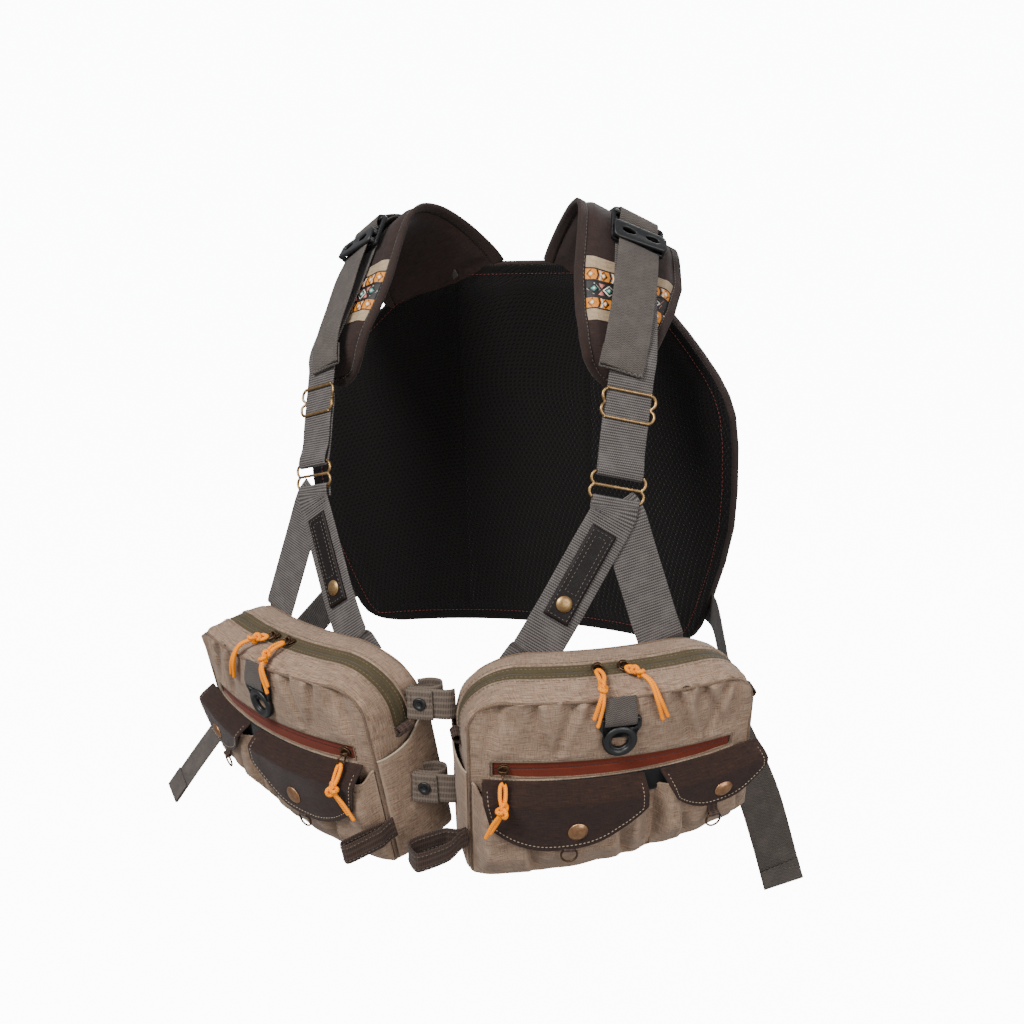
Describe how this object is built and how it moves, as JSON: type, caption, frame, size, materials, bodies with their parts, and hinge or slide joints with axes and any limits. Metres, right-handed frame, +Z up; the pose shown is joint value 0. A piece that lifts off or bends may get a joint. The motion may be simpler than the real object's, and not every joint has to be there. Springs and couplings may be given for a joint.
{
  "type": "fishing vest",
  "caption": "Fishing vest with two curved zipped chest bags, flap pockets, tool rings and cord pulls, hung on a padded harness with webbing straps and a mesh back panel.",
  "frame": {"origin": "on the wearer's centre line, level with the lowest front edge of the bags", "axes": "+X to the wearer's left, -Y to the front, +Z up"},
  "size_m": [0.5845, 0.3721, 0.5965],
  "materials": {
    "bag_fabric": "rough",
    "zip_olive": "rough",
    "zip_rust": "rough",
    "flap_fabric": "rough",
    "webbing": "rough",
    "brown_webbing": "rough",
    "pad_fabric": "rough",
    "air_mesh": "rough",
    "foam": "rough",
    "black_plastic": "satin",
    "antique_brass": "satin",
    "cord_orange": "rough",
    "leather": "satin"
  },
  "bodies": {
    "harness": {"back_air_mesh": "air_mesh", "back_panel_foam": "foam", "back_panel_cover": "bag_fabric", "shoulder_pad_left": "pad_fabric", "shoulder_pad_right": "pad_fabric", "shoulder_locks": "black_plastic", "pad_webbing": "webbing", "waist_belt": "webbing", "load_strap_left": "webbing", "load_strap_right": "webbing"},
    "front_left": {"link_glide_left": "antique_brass", "v_strap_left": "webbing", "bag_shell_left": "bag_fabric", "main_zip_tape_left": "zip_olive", "front_zip_tape_left": "zip_rust", "outer_pockets_left": "bag_fabric", "snap_studs_left": "antique_brass", "ring_tapes_left": "webbing"},
    "adjust_glide_left": {"adjust_glide_left": "antique_brass"},
    "leather_tab_left": {"leather_tab_left": "leather"},
    "tool_ring_left": {"tool_ring_left": "black_plastic"},
    "main_slider_inner_left": {"main_slider_inner_left": "antique_brass"},
    "main_pull_inner_left": {"main_pull_inner_left": "cord_orange"},
    "main_slider_outer_left": {"main_slider_outer_left": "antique_brass"},
    "main_pull_outer_left": {"main_pull_outer_left": "cord_orange"},
    "front_slider_left": {"front_slider_left": "antique_brass"},
    "front_pull_left": {"front_pull_left": "cord_orange"},
    "flap_inner_left": {"flap_inner_left": "flap_fabric"},
    "small_ring_inner_left": {"small_ring_inner_left": "antique_brass"},
    "flap_outer_left": {"flap_outer_left": "flap_fabric"},
    "small_ring_outer_left": {"small_ring_outer_left": "antique_brass"},
    "rod_loop_left": {"rod_loop_left": "brown_webbing"},
    "belt_tail_left": {"belt_tail_left": "webbing"},
    "front_right": {"link_glide_right": "antique_brass", "v_strap_right": "webbing", "bag_shell_right": "bag_fabric", "main_zip_tape_right": "zip_olive", "front_zip_tape_right": "zip_rust", "outer_pockets_right": "bag_fabric", "snap_studs_right": "antique_brass", "ring_tapes_right": "webbing", "centre_tabs": "webbing"},
    "adjust_glide_right": {"adjust_glide_right": "antique_brass"},
    "leather_tab_right": {"leather_tab_right": "leather"},
    "tool_ring_right": {"tool_ring_right": "black_plastic"},
    "main_slider_inner_right": {"main_slider_inner_right": "antique_brass"},
    "main_pull_inner_right": {"main_pull_inner_right": "cord_orange"},
    "main_slider_outer_right": {"main_slider_outer_right": "antique_brass"},
    "main_pull_outer_right": {"main_pull_outer_right": "cord_orange"},
    "front_slider_right": {"front_slider_right": "antique_brass"},
    "front_pull_right": {"front_pull_right": "cord_orange"},
    "flap_inner_right": {"flap_inner_right": "flap_fabric"},
    "small_ring_inner_right": {"small_ring_inner_right": "antique_brass"},
    "flap_outer_right": {"flap_outer_right": "flap_fabric"},
    "small_ring_outer_right": {"small_ring_outer_right": "antique_brass"},
    "rod_loop_right": {"rod_loop_right": "brown_webbing"},
    "belt_tail_right": {"belt_tail_right": "webbing"},
    "centre_strap_upper": {"centre_strap_upper": "webbing"},
    "centre_strap_lower": {"centre_strap_lower": "webbing"}
  },
  "joints": [
    {"name": "front_opening_left", "type": "hinge", "parent": "harness", "child": "front_left", "pos_m": [0.218, -0.022, 0.072], "axis": [-0.3622, -0.1989, 0.9106], "range_deg": [0, 35]},
    {"name": "glide_slide_left", "type": "slide", "parent": "harness", "child": "adjust_glide_left", "axis": [0.0446, 0.4411, 0.8963], "range_m": [-0.03, 0.01]},
    {"name": "leather_tab_lift_left", "type": "hinge", "parent": "front_left", "child": "leather_tab_left", "pos_m": [0.1249, -0.08481, 0.25673], "axis": [-0.8027, -0.2414, 0.5454], "range_deg": [0, 110]},
    {"name": "tool_ring_swing_left", "type": "hinge", "parent": "front_left", "child": "tool_ring_left", "pos_m": [0.1516, -0.16073, 0.1332], "axis": [0.891, 0.454, 0], "range_deg": [-95, 0]},
    {"name": "main_slider_inner_left_travel", "type": "hinge", "parent": "front_left", "child": "main_slider_inner_left", "pos_m": [-0.02722, 0.19023, 0.22703], "axis": [0.0788, -0.1547, 0.9848], "range_deg": [-8, 0]},
    {"name": "main_pull_inner_left_swing", "type": "hinge", "parent": "main_slider_inner_left", "child": "main_pull_inner_left", "pos_m": [0.12403, -0.14338, 0.16789], "axis": [0.9102, 0.4141, -0.0078], "range_deg": [-95, 0]},
    {"name": "main_slider_outer_left_travel", "type": "hinge", "parent": "front_left", "child": "main_slider_outer_left", "pos_m": [-0.02722, 0.19023, 0.22703], "axis": [0.0788, -0.1547, 0.9848], "range_deg": [0, 8]},
    {"name": "main_pull_outer_left_swing", "type": "hinge", "parent": "main_slider_outer_left", "child": "main_pull_outer_left", "pos_m": [0.15377, -0.12822, 0.16789], "axis": [0.87, 0.493, 0.0078], "range_deg": [-95, 0]},
    {"name": "front_slider_left_travel", "type": "hinge", "parent": "front_left", "child": "front_slider_left", "pos_m": [-0.03251, 0.2006, 0.16105], "axis": [-0.0788, 0.1547, -0.9848], "range_deg": [-24.5, 0]},
    {"name": "front_pull_left_swing", "type": "hinge", "parent": "front_slider_left", "child": "front_pull_left", "pos_m": [0.06631, -0.1856, 0.09246], "axis": [0.9665, 0.2539, -0.0375], "range_deg": [-90, 0]},
    {"name": "flap_inner_left_lift", "type": "hinge", "parent": "front_left", "child": "flap_inner_left", "pos_m": [0.12587, -0.17686, 0.0779], "axis": [-0.9211, -0.3892, 0.0126], "range_deg": [0, 120]},
    {"name": "small_ring_inner_left_swing", "type": "hinge", "parent": "front_left", "child": "small_ring_inner_left", "pos_m": [0.11317, -0.17261, 0.02627], "axis": [0.9294, 0.3687, -0.0165], "range_deg": [-90, 0]},
    {"name": "flap_outer_left_lift", "type": "hinge", "parent": "front_left", "child": "flap_outer_left", "pos_m": [0.21773, -0.1236, 0.07891], "axis": [-0.7951, -0.6057, -0.0315], "range_deg": [0, 120]},
    {"name": "small_ring_outer_left_swing", "type": "hinge", "parent": "front_left", "child": "small_ring_outer_left", "pos_m": [0.21601, -0.11556, 0.03411], "axis": [0.7921, 0.6096, 0.0324], "range_deg": [-90, 0]},
    {"name": "rod_loop_left_swing", "type": "hinge", "parent": "front_left", "child": "rod_loop_left", "pos_m": [0.03042, -0.18391, 0.03163], "axis": [0.0788, -0.1547, 0.9848], "range_deg": [0, 50]},
    {"name": "belt_tail_left_swing", "type": "hinge", "parent": "front_left", "child": "belt_tail_left", "pos_m": [0.238, -0.014, 0.075], "axis": [0.8645, 0.5026, 0], "range_deg": [0, 40]},
    {"name": "front_opening_right", "type": "hinge", "parent": "harness", "child": "front_right", "pos_m": [-0.218, -0.022, 0.072], "axis": [-0.3622, 0.1989, -0.9106], "range_deg": [0, 35]},
    {"name": "glide_slide_right", "type": "slide", "parent": "harness", "child": "adjust_glide_right", "axis": [-0.0446, 0.4411, 0.8963], "range_m": [-0.03, 0.01]},
    {"name": "leather_tab_lift_right", "type": "hinge", "parent": "front_right", "child": "leather_tab_right", "pos_m": [-0.1249, -0.08481, 0.25673], "axis": [-0.8027, 0.2414, -0.5454], "range_deg": [0, 110]},
    {"name": "tool_ring_swing_right", "type": "hinge", "parent": "front_right", "child": "tool_ring_right", "pos_m": [-0.1516, -0.16073, 0.1332], "axis": [0.891, -0.454, 0], "range_deg": [-95, 0]},
    {"name": "main_slider_inner_right_travel", "type": "hinge", "parent": "front_right", "child": "main_slider_inner_right", "pos_m": [0.02722, 0.19023, 0.22703], "axis": [0.0788, 0.1547, -0.9848], "range_deg": [-8, 0]},
    {"name": "main_pull_inner_right_swing", "type": "hinge", "parent": "main_slider_inner_right", "child": "main_pull_inner_right", "pos_m": [-0.12403, -0.14338, 0.16789], "axis": [0.9102, -0.4141, 0.0078], "range_deg": [-95, 0]},
    {"name": "main_slider_outer_right_travel", "type": "hinge", "parent": "front_right", "child": "main_slider_outer_right", "pos_m": [0.02722, 0.19023, 0.22703], "axis": [0.0788, 0.1547, -0.9848], "range_deg": [0, 8]},
    {"name": "main_pull_outer_right_swing", "type": "hinge", "parent": "main_slider_outer_right", "child": "main_pull_outer_right", "pos_m": [-0.15377, -0.12822, 0.16789], "axis": [0.87, -0.493, -0.0078], "range_deg": [-95, 0]},
    {"name": "front_slider_right_travel", "type": "hinge", "parent": "front_right", "child": "front_slider_right", "pos_m": [0.03251, 0.2006, 0.16105], "axis": [-0.0788, -0.1547, 0.9848], "range_deg": [-24.5, 0]},
    {"name": "front_pull_right_swing", "type": "hinge", "parent": "front_slider_right", "child": "front_pull_right", "pos_m": [-0.06631, -0.1856, 0.09246], "axis": [0.9665, -0.2539, 0.0375], "range_deg": [-90, 0]},
    {"name": "flap_inner_right_lift", "type": "hinge", "parent": "front_right", "child": "flap_inner_right", "pos_m": [-0.12587, -0.17686, 0.0779], "axis": [-0.9211, 0.3892, -0.0126], "range_deg": [0, 120]},
    {"name": "small_ring_inner_right_swing", "type": "hinge", "parent": "front_right", "child": "small_ring_inner_right", "pos_m": [-0.11317, -0.17261, 0.02627], "axis": [0.9294, -0.3687, 0.0165], "range_deg": [-90, 0]},
    {"name": "flap_outer_right_lift", "type": "hinge", "parent": "front_right", "child": "flap_outer_right", "pos_m": [-0.21773, -0.1236, 0.07891], "axis": [-0.7951, 0.6057, 0.0315], "range_deg": [0, 120]},
    {"name": "small_ring_outer_right_swing", "type": "hinge", "parent": "front_right", "child": "small_ring_outer_right", "pos_m": [-0.21601, -0.11556, 0.03411], "axis": [0.7921, -0.6096, -0.0324], "range_deg": [-90, 0]},
    {"name": "rod_loop_right_swing", "type": "hinge", "parent": "front_right", "child": "rod_loop_right", "pos_m": [-0.03042, -0.18391, 0.03163], "axis": [0.0788, 0.1547, -0.9848], "range_deg": [-40, 0]},
    {"name": "belt_tail_right_swing", "type": "hinge", "parent": "front_right", "child": "belt_tail_right", "pos_m": [-0.238, -0.014, 0.075], "axis": [-0.3522, 0.9359, 0], "range_deg": [0, 40]},
    {"name": "centre_strap_upper_flip", "type": "hinge", "parent": "front_left", "child": "centre_strap_upper", "pos_m": [0.017, -0.16, 0.131], "axis": [0, 0, 1], "range_deg": [0, 85]},
    {"name": "centre_strap_lower_flip", "type": "hinge", "parent": "front_left", "child": "centre_strap_lower", "pos_m": [0.017, -0.16, 0.058], "axis": [0, 0, 1], "range_deg": [0, 85]}
  ],
  "couplings": [
    {"joint": "front_opening_right", "follows": "front_opening_left", "ratio": 1}
  ]
}
